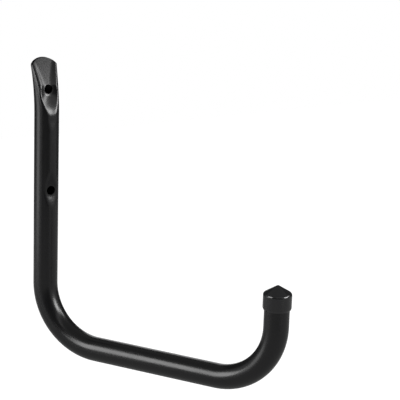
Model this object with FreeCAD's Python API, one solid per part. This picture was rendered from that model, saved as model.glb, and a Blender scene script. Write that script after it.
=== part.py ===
# Wall hook for storing a bicycle: one bent steel tube and the push-on cap of its tip.
# Frame: millimetres, +Z up, the wall is the plane Y = 0 and the hook stands out towards -Y.
# The origin lies on the wall, halfway between the two screw holes.
import FreeCAD, Part

import math
import os

V = FreeCAD.Vector

# Tube stock
tube_od = 20.0
tube_wall = 1.2

# Run of the centreline: leg down the wall, bend, arm, bend, tip up
leg_straight = 186.5
bend_radius = 50.0
arm_straight = 111.0
tip_straight = 26.0
arm_swing = 30.0            # how far the arm is turned sideways from square to the wall, in degrees

# Screw holes: wide in the tube's front side, and as wide as a screw's shank in its wall side
front_hole_d = 7.4
back_hole_d = 5.0
hole_spacing = 82.5
hole_from_top = 24.3

# Pressed end: squeezed against the wall side, with a trough rolled into its front
press_length = 44.5         # from the top end down to where the tube is round again
press_rate = 1.9            # how late the squeeze sets in on its way up
end_depth = 5.0             # what is left of the tube's depth at the very end
end_widening = 1.9          # how much the end spreads to each side
trough_length = 47.5
trough_ease = 9.0           # how gently the trough dives into the tube
trough_radius = 10.0
flare_length = 30.0         # the trough opens out over this last stretch
flare_floor = 5.0           # half the width of its flat floor at the very end
flare_radius = 5.0          # how tightly its sides rise from that floor
crease_blend = 2.0          # softness of the creases
slit = 0.6                  # what stays open between the two walls where they nearly meet
end_round = 15.0            # radius of the rounded outline of the end

# Dents punched round the screw holes, so that the screw heads sink in
seat_radius = 4.6
lower_dent_depth = 1.6
lower_dent_slope = 0.24
upper_dent_depth = 0.8
upper_dent_slope = 0.60
dent_blend = 1.4            # softness of the dents' edges

# Push-on cap of the tip
cap_wall = 1.25
cap_clearance = 0.05
cap_grip = 11.5             # how far the cap reaches down over the tube
cap_end_wall = 1.6
cone_angle = 31.0
shoulder_radius = 2.5
apex_radius = 2.0
lip_height = 1.6
lip_inset = 0.7

# How finely the pressed walls are drawn
section_points = 96
section_step = 1.9
plain_margin = 0.6          # plain tube left at both ends of a pressed length
end_spare = 0.6             # drawn past the end, and cut away with the rounding of its outline
joint_tolerance = 0.001

# Derived places
tube_r = tube_od / 2
cap_r = tube_r + cap_clearance + cap_wall
axis_y = -tube_r
upper_hole_z = hole_spacing / 2
lower_hole_z = -hole_spacing / 2
top_z = upper_hole_z + hole_from_top
leg_foot_z = top_z - leg_straight
trough_foot_z = top_z - trough_length
trough_slope = (tube_od - 2 * tube_wall - slit) / (math.hypot(trough_length, trough_ease) - trough_ease)

# The trough's creases die out over the fade below its foot, and the lower dent within its reach
fade_length = math.sqrt((crease_blend / trough_slope + trough_ease) ** 2 - trough_ease ** 2) + plain_margin
dent_reach = seat_radius + (lower_dent_depth + dent_blend) / lower_dent_slope + plain_margin
press_foot_z = top_z - max(press_length, trough_length + fade_length)


def smooth_min(a, b, blend):
    """The lower of two heights, with the corner between them rounded off"""
    h = max(blend - abs(a - b), 0.0) / blend
    return min(a, b) - h * h * blend / 4


def smooth_max(a, b, blend):
    return -smooth_min(-a, -b, blend)


def squeeze(z):
    """How far the tube is squeezed at height z, from 0 where it is round to 1 at the end"""
    up = 1 - (top_z - z) / press_length
    return max(up, 0.0) ** press_rate


def trough_height(x, z):
    """Distance of the trough's surface from the wall"""
    above_foot = z - trough_foot_z
    depth = trough_slope * (math.hypot(above_foot, trough_ease) - trough_ease)
    middle = tube_od - math.copysign(depth, above_foot)
    flare = max(1 - (top_z - z) / flare_length, 0.0) ** 2
    radius = trough_radius + (flare_radius - trough_radius) * flare
    side = max(abs(x) - flare_floor * flare, 0.0)
    return middle + side * side / (2 * radius)


def dent_height(x, z, hole_z, seat, slope):
    """Distance from the wall of the conical dent round a screw hole"""
    out = math.hypot(x, z - hole_z) - seat_radius
    return seat + slope * smooth_max(out, 0.0, dent_blend)


def front_height(base, x, z, inset):
    """Front wall at one place: the squeezed tube with the trough and the dents pressed in"""
    y = smooth_min(base, trough_height(x, z) - inset, crease_blend)
    upper_seat = trough_height(0.0, upper_hole_z) - upper_dent_depth - inset
    y = smooth_min(y, dent_height(x, z, upper_hole_z, upper_seat, upper_dent_slope), dent_blend)
    lower_seat = tube_od - lower_dent_depth - inset
    return smooth_min(y, dent_height(x, z, lower_hole_z, lower_seat, lower_dent_slope), dent_blend)


def section(z, inset):
    """Closed curve of the tube's outer skin at height z, or of its bore when inset is the wall"""
    half_width = tube_r + end_widening * squeeze(z) - inset
    half_depth = (tube_od - (tube_od - end_depth) * squeeze(z)) / 2
    points = []
    for i in range(section_points):
        angle = math.pi / 2 + 2 * math.pi * i / section_points
        x = half_width * math.sin(angle)
        y = half_depth + (half_depth - inset) * math.cos(angle)
        if math.cos(angle) > 0:
            back = half_depth - (half_depth - inset) * math.cos(angle)
            y = front_height(y, x, z, inset)
            if inset > 0:
                gap = slit * math.cos(angle) * (2 - math.cos(angle))
                y = smooth_max(y, back + gap, gap)
        points.append(V(x, -y, z))
    curve = Part.BSplineCurve()
    steps = [float(i) for i in range(section_points + 1)]
    curve.interpolate(Points=points, PeriodicFlag=True, Parameters=steps)
    return Part.Wire(curve.toShape())


def pressed_length(z_low, z_high, inset):
    """Solid through the pressed sections between two heights"""
    count = max(int(math.ceil((z_high - z_low) / section_step)), 2)
    heights = [z_low + (z_high - z_low) * i / count for i in range(count + 1)]
    return Part.makeLoft([section(z, inset) for z in heights], True, False)


def round_length(z_low, z_high, radius):
    return Part.makeCylinder(radius, z_high - z_low, V(0, axis_y, z_low), V(0, 0, 1))


def swing(shape):
    """Turn what was drawn square to the wall to the side that the arm points to"""
    shape.rotate(V(0, axis_y, 0), V(0, 0, 1), arm_swing)
    return shape


def bent_length(radius):
    """Round rod along the centreline, from the foot of the leg to the end of the tip"""
    across = V(0, -bend_radius, 0)
    up = V(0, 0, bend_radius)
    leg_foot = V(0, axis_y, leg_foot_z)
    arm_start = leg_foot + across - up
    arm_end = arm_start + V(0, -arm_straight, 0)
    tip_foot = arm_end + across + up
    tip_end = tip_foot + V(0, 0, tip_straight)
    middle = math.sqrt(0.5)
    first_bend = Part.Arc(leg_foot, leg_foot + across * (1 - middle) - up * middle, arm_start)
    second_bend = Part.Arc(arm_end, arm_end + across * middle + up * (1 - middle), tip_foot)
    path = Part.Wire([first_bend.toShape(), Part.makeLine(arm_start, arm_end),
                      second_bend.toShape(), Part.makeLine(tip_foot, tip_end)])
    profile = Part.Wire(Part.makeCircle(radius, leg_foot, V(0, 0, 1)))
    return swing(path.makePipeShell([profile], True, False))


def full_length(inset):
    """The whole hook as one solid rod, in the skin's size or in the bore's"""
    radius = tube_r - inset
    dent_low = lower_hole_z - dent_reach
    dent_high = lower_hole_z + dent_reach
    pieces = [round_length(leg_foot_z, dent_low, radius),
              pressed_length(dent_low, dent_high, inset),
              round_length(dent_high, press_foot_z, radius),
              pressed_length(press_foot_z, top_z + end_spare, inset)]
    return bent_length(radius).multiFuse(pieces, joint_tolerance)


def rounded_end(margin):
    """Room below the rounded outline of the top end"""
    centre_z = top_z - end_round
    depth = tube_od + 2 * margin
    low = leg_foot_z - 2 * bend_radius
    reach = 2 * bend_radius + arm_straight + tube_od
    disc = Part.makeCylinder(end_round, depth, V(0, -tube_od - margin, centre_z), V(0, 1, 0))
    room = Part.makeBox(2 * reach, 2 * reach, centre_z - low, V(-reach, -reach, low))
    return room.fuse(disc)


def screw_hole(z, wall_gap, margin):
    """Drill through the front of the tube, with a thinner one through its wall side"""
    start_y = -tube_od - margin
    front = Part.makeCylinder(front_hole_d / 2, -wall_gap - start_y, V(0, start_y, z), V(0, 1, 0))
    back = Part.makeCylinder(back_hole_d / 2, wall_gap + margin, V(0, -wall_gap, z), V(0, 1, 0))
    return front.fuse(back)


def hook_tube():
    """Hollow tube with its pressed end, dents, bends and screw holes"""
    margin = tube_wall
    tube = full_length(0.0).cut(full_length(tube_wall))
    tube = tube.common(rounded_end(margin))
    for z in (upper_hole_z, lower_hole_z):
        tube = tube.cut(screw_hole(z, 2 * tube_wall, margin))
    return tube.Solids[0]


def edges_at(solid, z):
    """The round edges of a turned solid at one height"""
    return [e for e in solid.Edges if e.BoundBox.ZLength < 0.001 and abs(e.BoundBox.ZMin - z) < 0.001]


def turned(outline):
    """Solid turned from a half outline round the Z axis"""
    face = Part.Face(Part.Wire(outline))
    return face.revolve(V(0, 0, 0), V(0, 0, 1), 360)


def cap_body(rim_z, lip_z, shoulder_z):
    """Outside of the cap as one solid: lip, straight side, shoulder and cone with a round apex"""
    slope = math.radians(cone_angle)
    reach = cap_r * math.sin(slope) + shoulder_z * math.cos(slope)
    apex_centre = (reach - apex_radius) / math.cos(slope)
    bottom = V(0, 0, rim_z)
    rim = V(cap_r - lip_inset, 0, rim_z)
    side_low = V(cap_r, 0, lip_z)
    shoulder = V(cap_r, 0, shoulder_z)
    cone_end = V(apex_radius * math.sin(slope), 0, apex_centre + apex_radius * math.cos(slope))
    apex_middle = V(apex_radius * math.sin(slope / 2), 0, apex_centre + apex_radius * math.cos(slope / 2))
    apex = V(0, 0, apex_centre + apex_radius)
    outline = [Part.makeLine(bottom, rim), Part.makeLine(rim, side_low),
               Part.makeLine(side_low, shoulder), Part.makeLine(shoulder, cone_end),
               Part.Arc(cone_end, apex_middle, apex).toShape(), Part.makeLine(apex, bottom)]
    body = turned(outline)
    body = body.makeFillet(shoulder_radius, edges_at(body, shoulder_z))
    return body.makeFillet(lip_height / 2, edges_at(body, lip_z))


def end_cap():
    """Push-on cap: a socket that grips the tube's end, with a hollow under its cone"""
    end_z = leg_foot_z + tip_straight
    rim_z = end_z - cap_grip
    body = cap_body(rim_z, rim_z + lip_height, end_z + cap_end_wall)
    socket = Part.makeCylinder(tube_r + cap_clearance, cap_grip, V(0, 0, rim_z), V(0, 0, 1))
    hollow_r = tube_r - tube_wall - cap_clearance
    hollow_height = hollow_r * math.tan(math.radians(cone_angle))
    hollow = Part.makeCone(hollow_r, 0, hollow_height, V(0, 0, end_z), V(0, 0, 1))
    cap = body.cut(socket.fuse(hollow))
    cap.translate(V(0, axis_y - 2 * bend_radius - arm_straight, 0))
    return swing(cap).Solids[0]


def main():
    os.makedirs("parts", exist_ok=True)
    pieces = {"hook_tube": hook_tube(), "end_cap": end_cap()}
    for name, solid in pieces.items():
        solid.exportStep("parts/" + name + ".step")
        box = solid.BoundBox
        print(name, "volume", round(solid.Volume), "mm3, valid", solid.isValid(), box)


main()
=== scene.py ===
# %% [markdown]
# # A bicycle wall hook in black powder coat
#
# The object is one length of steel tube. Its upper end is pressed against the wall, its leg
# runs down, and two bends make an arm and a short upright tip with a soft push-on cap. The
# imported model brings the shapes. This lesson adds the camera, the two finishes, a finer skin
# for the tube, and the studio. Black and glossy things show hardly any colour of their own.
# What the eye reads is the room in their skin, so much of the work is in what they can mirror.

import math

import bpy
from mathutils import Matrix, Vector


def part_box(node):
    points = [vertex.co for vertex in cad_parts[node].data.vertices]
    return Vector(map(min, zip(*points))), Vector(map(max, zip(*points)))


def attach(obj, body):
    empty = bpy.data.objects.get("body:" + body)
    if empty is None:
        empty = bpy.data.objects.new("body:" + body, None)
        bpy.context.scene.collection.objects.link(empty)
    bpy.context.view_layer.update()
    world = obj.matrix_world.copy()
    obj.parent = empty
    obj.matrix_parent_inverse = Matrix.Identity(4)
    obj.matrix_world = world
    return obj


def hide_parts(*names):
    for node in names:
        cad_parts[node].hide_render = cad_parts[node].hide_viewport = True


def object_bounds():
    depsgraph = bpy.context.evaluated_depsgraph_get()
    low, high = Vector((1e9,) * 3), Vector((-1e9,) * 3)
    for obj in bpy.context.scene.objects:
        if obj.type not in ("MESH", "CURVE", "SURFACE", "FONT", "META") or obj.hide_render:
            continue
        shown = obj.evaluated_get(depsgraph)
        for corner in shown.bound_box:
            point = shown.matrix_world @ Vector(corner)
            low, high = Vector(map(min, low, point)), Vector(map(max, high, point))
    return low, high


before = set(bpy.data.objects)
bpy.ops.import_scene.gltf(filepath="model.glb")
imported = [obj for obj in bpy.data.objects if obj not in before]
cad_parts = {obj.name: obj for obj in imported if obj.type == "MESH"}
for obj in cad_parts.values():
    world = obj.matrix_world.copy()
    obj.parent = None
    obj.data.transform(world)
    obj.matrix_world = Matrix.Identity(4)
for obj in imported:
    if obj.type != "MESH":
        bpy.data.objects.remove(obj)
cad_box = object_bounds()
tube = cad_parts["hook_tube"]
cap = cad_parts["end_cap"]
for node in (tube, cap):
    low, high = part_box(node.name)
    size = [round(1000 * side, 1) for side in high - low]
    print(node.name, len(node.data.polygons), "faces,", size, "mm")

# %% [markdown]
# ## The camera
#
# A camera can be placed by eye, but a fit is better: a few sizes that are known on the object
# and their places in the picture give the direction, the distance and the lens. The lens turned
# out long, as product photographers like it, so the two uprights stay almost parallel. The
# camera stands to the left, a little above, and is tilted by two degrees.

# %% Camera from the fitted direction, distance and lens
image_size = 400            # pixels
focal_pixels = 1600
sensor_mm = 36.0
camera_azimuth = math.radians(-32.9)
camera_elevation = math.radians(14.9)
camera_roll = math.radians(1.9)
camera_distance = 1.290
aim_point = Vector((0.0, -0.010, 0.02375))     # on the leg's axis, level with the upper screw
aim_pixel = (46.75, 109.96)                    # where that point lies in the picture


def camera_axes(azimuth, elevation, roll):
    """Right, up and forward of a camera that looks at the object from this direction"""
    forward = -Vector((math.sin(azimuth) * math.cos(elevation),
                       -math.cos(azimuth) * math.cos(elevation),
                       math.sin(elevation)))
    level_right = Vector((math.cos(azimuth), math.sin(azimuth), 0.0))
    level_up = level_right.cross(forward)
    right = math.cos(roll) * level_right + math.sin(roll) * level_up
    up = math.cos(roll) * level_up - math.sin(roll) * level_right
    return right, up, forward


right, up, forward = camera_axes(camera_azimuth, camera_elevation, camera_roll)
across = (aim_pixel[0] - image_size / 2) / focal_pixels
down = (aim_pixel[1] - image_size / 2) / focal_pixels
ray = forward + across * right - down * up

camera_data = bpy.data.cameras.new("camera")
camera_data.sensor_width = sensor_mm
camera_data.lens = sensor_mm * focal_pixels / image_size
camera = bpy.data.objects.new("camera", camera_data)
bpy.context.scene.collection.objects.link(camera)
camera.matrix_world = Matrix((right, up, -forward)).transposed().to_4x4()
camera.location = aim_point - ray * camera_distance
bpy.context.scene.camera = camera
print("lens", camera_data.lens, "mm, camera at", [round(v, 3) for v in camera.location])

# %% [markdown]
# ## Two helpers for materials
#
# Colours are written as the hex values that a paint program shows. Blender's shaders want
# linear light, so one function converts them. A second function adds a node, gives it its
# settings and links its inputs, which keeps each material short enough to read as a recipe.

# %% Colour and node helpers
noise_range = (0.3, 0.7)    # most values of a noise texture lie between these


def linear(hex_colour):
    """Linear colour with alpha from an sRGB hex value"""
    channels = [int(hex_colour[i:i + 2], 16) / 255 for i in (1, 3, 5)]
    return [c / 12.92 if c <= 0.04045 else ((c + 0.055) / 1.055) ** 2.4 for c in channels] + [1.0]


def add_node(tree, kind, inputs=None, **settings):
    """Add a node; an input given as a socket is linked, and anything else is its value"""
    node = tree.nodes.new(kind)
    for name, value in settings.items():
        setattr(node, name, value)
    for name, value in (inputs or {}).items():
        if isinstance(value, bpy.types.NodeSocket):
            tree.links.new(value, node.inputs[name])
        else:
            node.inputs[name].default_value = value
    return node


def new_material(name):
    """An empty material with its output node"""
    material = bpy.data.materials.new(name)
    material.use_nodes = True
    material.node_tree.nodes.clear()
    return material, material.node_tree


# %% [markdown]
# ## The powder coat
#
# Powder coat is polyester dust that is blown onto the steel and baked until it melts. It cures
# to a tough plastic skin of about 0.1 mm, so it is a dielectric and not a metal, however much
# steel lies under it. It never flows quite level: the skin keeps shallow waves about a
# millimetre wide, called orange peel, and the shine drifts a little from place to place.
# A noise on Object coordinates gives both, so nothing slides when the camera moves.

# %% Satin black powder coat
peel_mm = 1.4               # width of one wave; real peel is nearer 0.8 mm, too fine to show here
peel_height_mm = 0.04
peel_strength = 0.12        # the share of that height that the shading shows
sheen_patch_mm = 22.0       # the size of the patches in which the shine drifts
powder_black = "#0e0e0f"
powder_roughness = (0.23, 0.29)
powder_ior = 1.48


def powder_coat():
    """Black plastic skin with shallow waves and a drifting shine"""
    material, tree = new_material("satin_black_powder_coat")
    place = add_node(tree, "ShaderNodeTexCoord").outputs["Object"]
    peel = add_node(tree, "ShaderNodeTexNoise", {
        "Vector": place, "Scale": 1000 / peel_mm, "Detail": 1.0, "Roughness": 0.4})
    patches = add_node(tree, "ShaderNodeTexNoise", {
        "Vector": place, "Scale": 1000 / sheen_patch_mm, "Detail": 2.0, "Roughness": 0.5})
    roughness = add_node(tree, "ShaderNodeMapRange", {
        "Value": patches.outputs["Fac"], "From Min": noise_range[0], "From Max": noise_range[1],
        "To Min": powder_roughness[0], "To Max": powder_roughness[1]})
    waves = add_node(tree, "ShaderNodeBump", {
        "Height": peel.outputs["Fac"], "Strength": peel_strength,
        "Distance": peel_height_mm / 1000})
    skin = add_node(tree, "ShaderNodeBsdfPrincipled", {
        "Base Color": linear(powder_black), "Metallic": 0.0, "IOR": powder_ior,
        "Roughness": roughness.outputs["Result"], "Normal": waves.outputs["Normal"]})
    add_node(tree, "ShaderNodeOutputMaterial", {"Surface": skin.outputs["BSDF"]})
    return material


# %% [markdown]
# ## The vinyl cap
#
# Such caps are dip moulded: a hot steel former goes into liquid vinyl and comes out with a soft
# skin on it. The outside cures in air, where nothing roughens it, so it is smoother than the
# powder coat, and the cap's shoulder mirrors each lamp as a small clear light. It is a trace
# greyer too, because vinyl scatters a little light inside its skin. Faint rings are left where
# the vinyl drained down the former.

# %% Dip-moulded vinyl
ring_mm = 1.6               # distance between the drain rings
wave_turns = 20 / (2 * math.pi)     # bands that a wave texture draws in one unit at scale 1
grain_mm = 2.5
ring_share = 0.35           # how much of the relief is rings; the rest is grain
relief_height_mm = 0.04
relief_strength = 0.15
vinyl_black = "#1a1a1b"
vinyl_roughness = (0.13, 0.18)
vinyl_ior = 1.55


def dipped_vinyl():
    """Smooth black vinyl with a faint grain and faint level rings"""
    material, tree = new_material("dip_moulded_black_vinyl")
    place = add_node(tree, "ShaderNodeTexCoord").outputs["Object"]
    rings = add_node(tree, "ShaderNodeTexWave", {
        "Vector": place, "Scale": 1000 / ring_mm / wave_turns, "Distortion": 1.5, "Detail": 1.0,
        "Detail Scale": 0.6}, wave_type="BANDS", bands_direction="Z")
    grain = add_node(tree, "ShaderNodeTexNoise", {
        "Vector": place, "Scale": 1000 / grain_mm, "Detail": 2.0})
    height = add_node(tree, "ShaderNodeMix", {
        "Factor": ring_share, "A": grain.outputs["Fac"], "B": rings.outputs["Fac"]},
        data_type="FLOAT")
    roughness = add_node(tree, "ShaderNodeMapRange", {
        "Value": grain.outputs["Fac"], "From Min": noise_range[0], "From Max": noise_range[1],
        "To Min": vinyl_roughness[0], "To Max": vinyl_roughness[1]})
    relief = add_node(tree, "ShaderNodeBump", {
        "Height": height.outputs["Result"], "Strength": relief_strength,
        "Distance": relief_height_mm / 1000})
    skin = add_node(tree, "ShaderNodeBsdfPrincipled", {
        "Base Color": linear(vinyl_black), "Metallic": 0.0, "IOR": vinyl_ior,
        "Roughness": roughness.outputs["Result"], "Normal": relief.outputs["Normal"]})
    add_node(tree, "ShaderNodeOutputMaterial", {"Surface": skin.outputs["BSDF"]})
    return material


cap.material_slots[0].material = dipped_vinyl()
print("cap finish:", cap.material_slots[0].material.name)

# %% [markdown]
# ## The tube
#
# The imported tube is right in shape, but its skin is made of large triangles, and a glossy black
# skin shows every one. So the tube gets a finer skin here by the same rule. A Geometry Nodes
# tree sweeps a circle along the centreline, once for the outside and once for the bore. Then a
# few lines press the leg as the factory does: they squeeze the end, roll the trough and punch
# the dents. Both skins are pressed together, so the wall keeps its thickness.

# %% Sizes of the tube, in millimetres
import bmesh
import numpy as np

tube_radius = 10.0
tube_wall = 1.2
bend_radius = 50.0
arm_length = 111.0
tip_length = 26.0
arm_swing = math.radians(30.0)
top_z = 65.55
leg_foot_z = -120.95
screw_heights = (41.25, -41.25)
front_hole_radius, back_hole_radius = 3.7, 2.5

# %% Points along the centreline
fine_step, middle_step, plain_step = 0.5, 2.0, 3.0     # pressed, between presses, and plain tube
dent_top_z, dent_foot_z = -22.0, -60.0  # the stretch round the lower dent
points_in_bend, points_in_tip = 37, 12


def centreline():
    """Points of the centreline, close together where the tube is pressed or bent"""
    def on_path(along, z):
        return (along * math.sin(arm_swing), -tube_radius - along * math.cos(arm_swing), z)

    heights = list(np.arange(top_z, 0.0, -fine_step)) + list(np.arange(0.0, dent_top_z, -middle_step))
    heights += list(np.arange(dent_top_z, dent_foot_z, -fine_step))
    heights += list(np.arange(dent_foot_z, leg_foot_z, -plain_step))
    turns = [math.radians(a) for a in np.linspace(0, 90, points_in_bend)]
    arm_end = bend_radius + arm_length
    path = [(0.0, z) for z in heights]
    path += [(bend_radius * (1 - math.cos(t)), leg_foot_z - bend_radius * math.sin(t))
             for t in turns]
    path += [(bend_radius + a, leg_foot_z - bend_radius)
             for a in np.arange(plain_step, arm_length, plain_step)]
    path += [(arm_end + bend_radius * math.sin(t), leg_foot_z - bend_radius * math.cos(t))
             for t in turns]
    path += [(arm_end + bend_radius, leg_foot_z + a)
             for a in np.linspace(middle_step, tip_length, points_in_tip)]
    return [on_path(along, z) for along, z in path]


route = centreline()
print("centreline of", len(route), "points")

# %% The sweep as a Geometry Nodes tree
def sweep_tree():
    """Sweeps a circle along a curve; the radius and the number of points are its inputs"""
    tree = bpy.data.node_groups.new("tube_on_a_path", "GeometryNodeTree")
    tree.is_modifier = True
    sockets = tree.interface
    sockets.new_socket("Path", in_out="INPUT", socket_type="NodeSocketGeometry")
    sockets.new_socket("Radius", in_out="INPUT", socket_type="NodeSocketFloat")
    sockets.new_socket("Points Round", in_out="INPUT", socket_type="NodeSocketInt")
    sockets.new_socket("Skin", in_out="INPUT", socket_type="NodeSocketMaterial")
    sockets.new_socket("Mesh", in_out="OUTPUT", socket_type="NodeSocketGeometry")
    given = add_node(tree, "NodeGroupInput").outputs
    circle = add_node(tree, "GeometryNodeCurvePrimitiveCircle", {
        "Resolution": given["Points Round"], "Radius": given["Radius"]})
    swept = add_node(tree, "GeometryNodeCurveToMesh", {
        "Curve": given["Path"], "Profile Curve": circle.outputs["Curve"]})
    real = add_node(tree, "GeometryNodeRealizeInstances", {"Geometry": swept.outputs["Mesh"]})
    painted = add_node(tree, "GeometryNodeSetMaterial", {
        "Geometry": real.outputs["Geometry"], "Material": given["Skin"]})
    add_node(tree, "NodeGroupOutput", {"Mesh": painted.outputs["Geometry"]})
    return tree


# %% The two skins, swept
def swept_mesh(tree, points, radius, points_round, skin):
    """Plain mesh of one sweep, with the modifier gone"""
    curve = bpy.data.curves.new("centreline", "CURVE")
    curve.dimensions = "3D"
    spline = curve.splines.new("POLY")
    spline.points.add(len(points) - 1)
    for point, place in zip(spline.points, points):
        point.co = (*place, 1.0)
    carrier = bpy.data.objects.new("centreline", curve)
    bpy.context.scene.collection.objects.link(carrier)
    modifier = carrier.modifiers.new("sweep", "NODES")
    modifier.node_group = tree
    values = {"Radius": radius, "Points Round": points_round, "Skin": skin}
    for item in tree.interface.items_tree:
        if item.name in values:
            modifier[item.identifier] = values[item.name]
    bpy.context.view_layer.update()
    evaluated = carrier.evaluated_get(bpy.context.evaluated_depsgraph_get())
    mesh = bpy.data.meshes.new_from_object(evaluated)
    bpy.data.objects.remove(carrier)
    return mesh


points_round = 128
coat = powder_coat()
tree = sweep_tree()
outside = swept_mesh(tree, route, tube_radius, points_round, coat)
bore = swept_mesh(tree, route, tube_radius - tube_wall, points_round, coat)
print("outside", len(outside.vertices), "points, bore", len(bore.vertices), "points")

# %% [markdown]
# ## Pressing the end
#
# The press is a rule for one question: how far from the wall is the front of the tube here? It
# takes the lowest of several heights: the squeezed tube, the floor of the trough, and the cone
# of each dent. A plain minimum would leave knife-sharp creases. A smooth minimum rounds them by
# a chosen width, as steel does by itself when it folds. The trough's flare and the upper dent are
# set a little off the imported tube, by less than 1 mm, because the reflections in them then look
# more like the photograph's.

# %% Sizes of the press, in millimetres
press_length, press_rate = 44.5, 1.9        # how far down it reaches, and how late it sets in
end_depth, end_widening = 5.0, 1.9          # depth left at the very end, and spread to each side
trough_length, trough_radius = 47.5, 10.0
trough_ease = 9.0           # how gently the trough dives into the tube
flare_length, flare_radius = 34.0, 4.0      # where the trough opens out, and how tight its sides are
flare_floor = 8.0           # half the width of its flat floor at the very end
crease_blend = 2.0          # softness of the creases
slit = 0.6                  # stays open between the two walls where they nearly meet
end_round = 15.0            # radius of the rounded outline of the end
end_round_reach = 20.0      # the stretch that is drawn in to make that outline
seat_radius = 4.6           # of the flat part round a screw hole
lower_dent_depth, lower_dent_slope = 1.6, 0.24
upper_dent_depth, upper_dent_slope = 0.3, 0.5
dent_blend = 1.4            # softness of the dents' edges
pressed_down_to = -62.0     # below the lower dent, and above the cap

trough_foot_z = top_z - trough_length
trough_slope = ((2 * (tube_radius - tube_wall) - slit)
                / (math.hypot(trough_length, trough_ease) - trough_ease))
print("trough from", round(trough_foot_z, 2), "up to", top_z, "mm, slope", round(trough_slope, 3))


# %% Height of the front wall
def smooth_min(a, b, blend):
    """The lower of two heights, with the corner between them rounded off"""
    h = np.maximum(blend - np.abs(a - b), 0.0) / blend
    return np.minimum(a, b) - h * h * blend / 4


def trough_height(x, z):
    """Floor and sides of the trough, which open out towards the end"""
    above_foot = z - trough_foot_z
    depth = trough_slope * (np.hypot(above_foot, trough_ease) - trough_ease)
    flare = np.maximum(1 - (top_z - z) / flare_length, 0.0) ** 2
    radius = trough_radius + (flare_radius - trough_radius) * flare
    wall = np.maximum(np.abs(x) - flare_floor * flare, 0.0)
    return 2 * tube_radius - np.copysign(depth, above_foot) + wall * wall / (2 * radius)


def dent_height(x, z, hole_z, seat, slope):
    """A flat seat round a hole, with a cone around it"""
    out = np.hypot(x, z - hole_z) - seat_radius
    return seat - slope * smooth_min(-out, 0.0, dent_blend)


def front_height(squeezed, x, z, inset):
    """Distance of the front wall from the wall of the house"""
    y = smooth_min(squeezed, trough_height(x, z) - inset, crease_blend)
    upper_z, lower_z = screw_heights
    upper_seat = trough_height(0.0, upper_z) - upper_dent_depth - inset
    y = smooth_min(y, dent_height(x, z, upper_z, upper_seat, upper_dent_slope), dent_blend)
    lower_seat = 2 * tube_radius - lower_dent_depth - inset
    return smooth_min(y, dent_height(x, z, lower_z, lower_seat, lower_dent_slope), dent_blend)


for height in screw_heights:
    seat = front_height(2 * tube_radius, 0.0, height, 0.0)
    print("screw at", height, "mm: its seat is", round(float(seat), 2), "mm from the wall")


# %% The press
almost_zero = 1e-6


def pressed(x, y, z, inset):
    """Where the press leaves the points of the round tube; y is the distance from the wall"""
    angle = np.arctan2(x, y - tube_radius)
    side = (tube_radius + end_widening - inset) * np.sin(angle)
    outline = top_z - end_round + np.sqrt(end_round ** 2 - side ** 2)
    foot = top_z - end_round_reach
    z = np.where(z > foot, foot + (z - foot) * (outline - foot) / (top_z - foot), z)
    squeeze = np.maximum(1 - (top_z - z) / press_length, 0.0) ** press_rate
    half_depth = tube_radius - (tube_radius - end_depth / 2) * squeeze
    ahead = (half_depth - inset) * np.cos(angle)
    x = (tube_radius + end_widening * squeeze - inset) * np.sin(angle)
    front = front_height(half_depth + ahead, x, z, inset)
    if inset:
        gap = slit * np.cos(angle) * (2 - np.cos(angle))    # nothing at the sides, where walls meet
        floor = half_depth - ahead + gap
        front = np.maximum(front, floor)
    return x, np.where(ahead > almost_zero, front, half_depth + ahead), z


def press(mesh, inset):
    """Presses the upper part of the leg of one swept skin"""
    points = np.empty(3 * len(mesh.vertices))
    mesh.vertices.foreach_get("co", points)
    points = points.reshape(-1, 3)
    leg = points[:, 2] > pressed_down_to
    x, y, z = pressed(points[leg, 0], -points[leg, 1], points[leg, 2], inset)
    points[leg] = np.stack([x, -y, z], axis=1)
    mesh.vertices.foreach_set("co", points.ravel())
    print(mesh.name, int(leg.sum()), "points pressed")


press(outside, 0.0)
press(bore, tube_wall)

# %% One closed wall out of the two skins
def one_wall(outer, inner):
    """Joins the skins, closes both ends with a ring of faces, and turns millimetres into metres"""
    wall = bmesh.new()
    wall.from_mesh(inner)
    bmesh.ops.reverse_faces(wall, faces=wall.faces)
    wall.from_mesh(outer)
    rims = [edge for edge in wall.edges if edge.is_boundary]
    for at_top in (True, False):
        loops = [edge for edge in rims if (edge.verts[0].co.z > 0) == at_top]
        bmesh.ops.bridge_loops(wall, edges=loops)
    bmesh.ops.scale(wall, vec=(0.001, 0.001, 0.001), verts=wall.verts)
    bmesh.ops.recalc_face_normals(wall, faces=wall.faces)
    mesh = bpy.data.meshes.new("bent_tube")
    wall.to_mesh(mesh)
    wall.free()
    return mesh


bent_tube = bpy.data.objects.new("bent_tube", one_wall(outside, bore))
bent_tube.data.materials.clear()
bent_tube.data.materials.append(coat)
bpy.context.scene.collection.objects.link(bent_tube)
print("tube wall of", len(bent_tube.data.polygons), "faces")

# %% Drill the screw holes
drill_sides = 72
front_drill_reach = (2 * tube_wall, 25.0)   # starts clear of the back wall, ends past the front
back_drill_reach = (-2.0, 4.0)              # goes through the back wall alone
crease_angle = math.radians(35)             # edges sharper than this stay sharp in the shading


def drill(name, radius, near, far, height):
    """A round cutter along the screw, between two distances from the wall, in millimetres"""
    cutter = bmesh.new()
    bmesh.ops.create_cone(cutter, cap_ends=True, segments=drill_sides, radius1=radius / 1000,
                          radius2=radius / 1000, depth=(far - near) / 1000)
    turn = Matrix.Rotation(math.radians(90), 4, "X")
    turn.translation = Vector((0.0, -(near + far) / 2000, height / 1000))
    bmesh.ops.transform(cutter, matrix=turn, verts=cutter.verts)
    mesh = bpy.data.meshes.new(name)
    cutter.to_mesh(mesh)
    cutter.free()
    tool = bpy.data.objects.new(name, mesh)
    bpy.context.scene.collection.objects.link(tool)
    return tool


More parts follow.
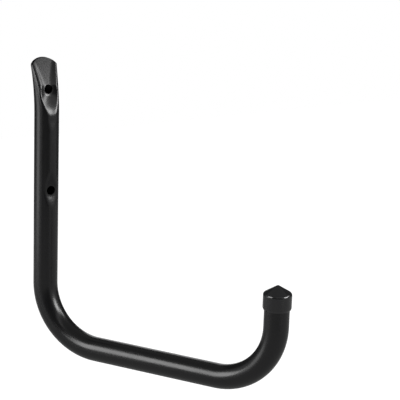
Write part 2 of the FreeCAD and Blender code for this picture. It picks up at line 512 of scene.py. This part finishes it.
drills = []
for number, height in enumerate(screw_heights):
    drills.append(drill("front_drill_%d" % number, front_hole_radius, *front_drill_reach, height))
    drills.append(drill("back_drill_%d" % number, back_hole_radius, *back_drill_reach, height))
for tool in drills:
    cut = bent_tube.modifiers.new(tool.name, "BOOLEAN")
    cut.operation, cut.solver, cut.object = "DIFFERENCE", "EXACT", tool
bpy.context.view_layer.update()
evaluated = bent_tube.evaluated_get(bpy.context.evaluated_depsgraph_get())
drilled = bpy.data.meshes.new_from_object(evaluated)
bent_tube.modifiers.clear()
bent_tube.data = drilled
for tool in drills:
    bpy.data.objects.remove(tool)
drilled.shade_smooth()
drilled.set_sharp_from_angle(angle=crease_angle)
print("drilled tube:", len(drilled.polygons), "faces")

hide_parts("hook_tube")
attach(bent_tube, "root")

# %% [markdown]
# ## The white surroundings
#
# The hook floats on pure white. The world is white where a camera, mirror or glass ray meets
# it, and only grey for the soft light that it sheds, so the backdrop costs no contrast. The
# floor lies well below, as if the hook hung on its wall. It is pale and plain, and it gives part
# of its white as a glow that only those rays see, so it still darkens where the hook shades it.

# %% A white world that sheds little light
soft_light = 0.25           # strength of the world as a lamp


def seen_directly(tree):
    """1 where a camera, glossy or transmission ray looks, and 0 for soft light"""
    path = add_node(tree, "ShaderNodeLightPath")
    either = add_node(tree, "ShaderNodeMath", operation="MAXIMUM")
    tree.links.new(path.outputs["Is Camera Ray"], either.inputs[0])
    tree.links.new(path.outputs["Is Glossy Ray"], either.inputs[1])
    any_ray = add_node(tree, "ShaderNodeMath", operation="MAXIMUM")
    tree.links.new(either.outputs[0], any_ray.inputs[0])
    tree.links.new(path.outputs["Is Transmission Ray"], any_ray.inputs[1])
    return any_ray.outputs[0]


world = bpy.data.worlds.new("white_studio")
world.use_nodes = True
world.node_tree.nodes.clear()
pure_white = (1, 1, 1, 1)
white = add_node(world.node_tree, "ShaderNodeBackground", {"Color": pure_white, "Strength": 1.0})
dim = add_node(world.node_tree, "ShaderNodeBackground", {
    "Color": pure_white, "Strength": soft_light})
sky = add_node(world.node_tree, "ShaderNodeMixShader", {0: seen_directly(world.node_tree)})
world.node_tree.links.new(dim.outputs[0], sky.inputs[1])
world.node_tree.links.new(white.outputs[0], sky.inputs[2])
add_node(world.node_tree, "ShaderNodeOutputWorld", {"Surface": sky.outputs[0]})
bpy.context.scene.world = world
print("world:", world.name, "with soft light of", soft_light)

# %% The floor
floor_drop = 0.30           # how far the floor lies below the hook, in metres
floor_reach = 4.0
floor_grey = "#8a8a8a"
floor_glow = 0.97           # how much of its white the floor gives by itself


def pale_floor():
    """Pale paint that shows shadows, with a glow for the rays that look at it"""
    material, tree = new_material("pale_studio_floor")
    paint = add_node(tree, "ShaderNodeBsdfDiffuse", {"Color": linear(floor_grey)})
    share = add_node(tree, "ShaderNodeMath", {0: seen_directly(tree), 1: floor_glow},
                     operation="MULTIPLY")
    glow = add_node(tree, "ShaderNodeEmission", {"Color": pure_white, "Strength": share.outputs[0]})
    both = add_node(tree, "ShaderNodeAddShader", {0: paint.outputs[0], 1: glow.outputs[0]})
    add_node(tree, "ShaderNodeOutputMaterial", {"Surface": both.outputs[0]})
    return material


middle = (cad_box[0] + cad_box[1]) / 2


def stage_mesh(name, points, faces, material):
    """A surface that belongs to the studio and not to the hook"""
    mesh = bpy.data.meshes.new(name)
    mesh.from_pydata([tuple(point) for point in points], [], faces)
    mesh.materials.append(material)
    surface = bpy.data.objects.new(name, mesh)
    bpy.context.scene.collection.objects.link(surface)
    return surface


def level_square(half, centre):
    """Corners of a level square with its middle at a point; half is half its side"""
    signs = ((-1, -1), (1, -1), (1, 1), (-1, 1))
    return [centre + Vector((half * x, half * y, 0)) for x, y in signs]


floor_centre = Vector((0.0, -0.1, cad_box[0].z - floor_drop))       # about under the hook
stage_mesh("floor", level_square(floor_reach / 2, floor_centre), [(0, 1, 2, 3)], pale_floor())
print("floor at", round(floor_centre.z, 3), "m")

# %% [markdown]
# ## Lamps and flags
#
# The tube is a curved mirror, so the photograph tells where its lamps stood: each place on the
# tube has one direction that it mirrors. A soft box at the left draws the line along the arm.
# Another at the right lights the folds of the pressed end and the cap's shoulder, with a strip
# behind it for the left side of the trough. A faint panel low at the left gives the leg its
# stripe, and a narrow one at the back keeps a line along the hook when it is seen from behind.
# Nearly all the rest of the room is dark. A photographer gets that with flags, which are boards
# of black or grey cloth. Here they show only in reflections and cast no shadow. One pale board
# hangs high in front, to light the right side of the pressed end. It is a compromise, because it
# also makes the inner side of the first bend lighter than it is in the photograph.

# %% Soft boxes
lamp_distance = 1.3


def around(azimuth, elevation, distance):
    """A place round the object, with the azimuth counted from the camera to the right"""
    a = camera_azimuth + math.radians(azimuth)
    e = math.radians(elevation)
    towards = Vector((math.sin(a) * math.cos(e), -math.cos(a) * math.cos(e), math.sin(e)))
    return middle + distance * towards


def soft_box(name, azimuth, elevation, width, height, brightness):
    """Area lamp that faces the object; brightness is how white its face is, 1 being the backdrop"""
    lamp = bpy.data.lights.new(name, "AREA")
    lamp.shape = "RECTANGLE"
    lamp.size, lamp.size_y = width, height
    lamp.energy = brightness * math.pi * width * height
    box = bpy.data.objects.new(name, lamp)
    bpy.context.scene.collection.objects.link(box)
    box.location = around(azimuth, elevation, lamp_distance)
    box.rotation_euler = (middle - box.location).to_track_quat("-Z", "Y").to_euler()
    print(name, "at", [round(v, 2) for v in box.location], "m,", round(lamp.energy, 1), "W")


soft_box("soft_box_left", -61, 21, width=0.80, height=0.74, brightness=6.4)
soft_box("low_fill_left", -80, -10, width=0.65, height=0.50, brightness=1.9)
soft_box("soft_box_right", 71, 20, width=0.58, height=0.54, brightness=12.5)
soft_box("strip_right", 98, 30, width=0.45, height=0.28, brightness=7.5)
soft_box("soft_box_back", 180, 4, width=0.30, height=1.10, brightness=1.2)

# %% Flags
flag_steps = 16             # flat pieces in one curved board
flag_foot, flag_head = -0.6, 1.4    # heights over the middle of the hook, in metres
front_split = 0.85          # where the front's black ends and the pale board over it begins


def flag_cloth(name, shade):
    """Cloth that shows one even shade in the reflections, 1 being the white of the backdrop"""
    material, tree = new_material(name)
    cloth = add_node(tree, "ShaderNodeEmission", {"Color": pure_white, "Strength": shade})
    add_node(tree, "ShaderNodeOutputMaterial", {"Surface": cloth.outputs[0]})
    return material


def board(name, points, faces, cloth):
    """A stage surface that only reflections see"""
    surface = stage_mesh(name, points, faces, cloth)
    surface.visible_camera = False
    surface.visible_diffuse = False
    surface.visible_transmission = False
    surface.visible_shadow = False


def flag(name, start, end, low, high, distance, cloth):
    """Curved board round the object between two azimuths and two heights"""
    turns = [start + (end - start) * i / flag_steps for i in range(flag_steps + 1)]
    ring = [around(turn, 0, distance) for turn in turns]
    points = [side + Vector((0, 0, z)) for side in ring for z in (low, high)]
    faces = [(2 * i, 2 * i + 2, 2 * i + 3, 2 * i + 1) for i in range(flag_steps)]
    board(name, points, faces, cloth)


def flat_flag(name, half, height, cloth):
    """Level square board over or under the object; half is half its side"""
    board(name, level_square(half, middle + Vector((0, 0, height))), [(0, 1, 2, 3)], cloth)


# %% Hang the flags
black_cloth = flag_cloth("black_flag_cloth", 0.06)
dark_cloth = flag_cloth("dark_flag_cloth", 0.2)
grey_cloth = flag_cloth("grey_flag_cloth", 0.4)
pale_cloth = flag_cloth("pale_flag_cloth", 0.9)
flag("flag_front", -42, 38, flag_foot, front_split, distance=1.5, cloth=black_cloth)
flag("flag_high", -10, 60, front_split, flag_head, distance=1.5, cloth=pale_cloth)
flag("flag_right", 38, 112, flag_foot, flag_head, distance=1.6, cloth=grey_cloth)
flag("flag_back", 112, 248, flag_foot, flag_head, distance=1.5, cloth=black_cloth)
flag("flag_left", 248, 318, flag_foot, flag_head, distance=1.6, cloth=grey_cloth)
flat_flag("flag_overhead", half=2.0, height=flag_head, cloth=dark_cloth)
flat_flag("flag_below", half=1.2, height=-0.36, cloth=grey_cloth)

# %% [markdown]
# ## Colours
#
# Blender can lay a film look over a picture, which would grey the white backdrop. The Standard view
# shows a colour as it is written.

# %% Show colours as they are written
bpy.context.scene.view_settings.view_transform = "Standard"
print("view:", bpy.context.scene.view_settings.view_transform)
